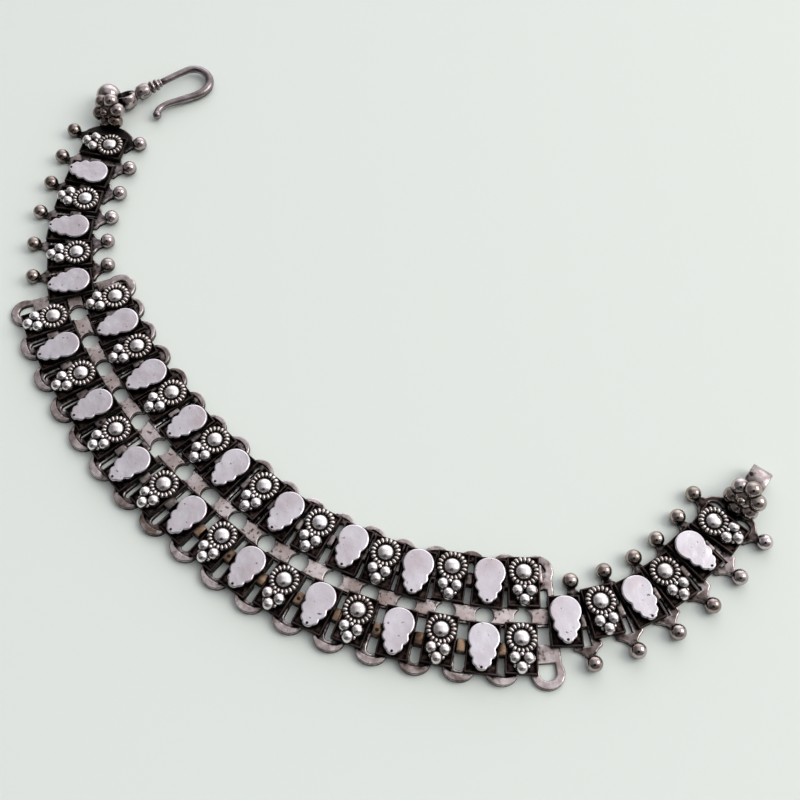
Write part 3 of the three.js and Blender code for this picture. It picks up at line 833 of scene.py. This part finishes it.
floorSizes = {"half": 6000}  # wide enough to fill the low views too
bm = bmesh.new()
bmesh.ops.create_grid(bm, x_segments=1, y_segments=1, size=floorSizes["half"] * mm)
floorMesh = bpy.data.meshes.new("floor")
bm.to_mesh(floorMesh)
bm.free()
floor = bpy.data.objects.new("floor", floorMesh)
bpy.context.scene.collection.objects.link(floor)
paper = bpy.data.materials.new("mattePaper")  # uncoated backdrop paper, pale green grey
paper.use_nodes = True
paper.node_tree.nodes["Principled BSDF"].inputs["Base Color"].default_value = hexColour("#F0F6EE")
paper.node_tree.nodes["Principled BSDF"].inputs["Roughness"].default_value = 0.9
floorMesh.materials.append(paper)

# the room is bright to the right and behind, dim in front, and dark where somebody stands over the table
room = {
    "colour": "#EFEFF4",
    # axis, then where the change starts and ends on a unit sphere, then the glow before and after it
    "sides": [("X", -0.59, 0.06, 0.25, 1.1), ("Y", -0.62, -0.2, 0.22, 1), ("Y", 0.55, 0.8, 1, 2.2)],
    "somebody": (-0.1, -0.53, 0.84), "darkWithin": 0.26, "clearBeyond": 0.38,
}
world = bpy.data.worlds.new("studio")
bpy.context.scene.world = world
world.use_nodes = True
tree = world.node_tree
direction = addNode(tree, "TexCoord").outputs["Generated"]
facing = addNode(tree, "SeparateXYZ", {0: direction}).outputs
glows = [addNode(tree, "MapRange", {0: facing[axis], 1: start, 2: end, 3: before, 4: after})
         for axis, start, end, before, after in room["sides"]]
fromSomebody = addNode(tree, "VectorMath", {0: direction, 1: room["somebody"]}, operation="DISTANCE")
glows.append(addNode(tree, "MapRange", {0: fromSomebody.outputs["Value"], 1: room["darkWithin"],
                                        2: room["clearBeyond"]}))
skyGlow = glows[0]
for glow in glows[1:]:
    skyGlow = addNode(tree, "Math", {0: skyGlow, 1: glow}, operation="MULTIPLY")
tree.links.new(skyGlow.outputs[0], tree.nodes["Background"].inputs["Strength"])
tree.nodes["Background"].inputs["Color"].default_value = hexColour(room["colour"])

# glow is what the softbox looks like from the strap, where 1 is white
softbox = {"at": (770, 90, 705), "size": 630, "glow": 3.5, "colour": "#FFFDFA"}
softboxData = bpy.data.lights.new("softbox", "AREA")
softboxData.shape = "SQUARE"
softboxData.size = softbox["size"] * mm
softboxData.energy = softbox["glow"] * math.pi * softboxData.size ** 2
softboxData.color = hexColour(softbox["colour"])[:3]
light = bpy.data.objects.new("softbox", softboxData)
light.location = Vector(softbox["at"]) * mm
light.rotation_euler = (-light.location).to_track_quat("-Z", "Y").to_euler()
bpy.context.scene.collection.objects.link(light)
bpy.context.scene.view_settings.view_transform = "Standard"

view = {"elevation": 63.3, "distance": 191.6, "lens": 51.77}
camera = bpy.data.objects.new("camera", bpy.data.cameras.new("camera"))
rise = math.radians(view["elevation"])
aim = Vector((shift.x, shift.y, 0)) * mm
camera.location = aim + Vector((0, -math.cos(rise), math.sin(rise))) * view["distance"] * mm
camera.rotation_euler = (math.pi / 2 - rise, 0, 0)
camera.data.lens = view["lens"]
camera.data.sensor_width = 36
camera.data.clip_start = 0.01
bpy.context.scene.collection.objects.link(camera)
bpy.context.scene.camera = camera
print("studio set")
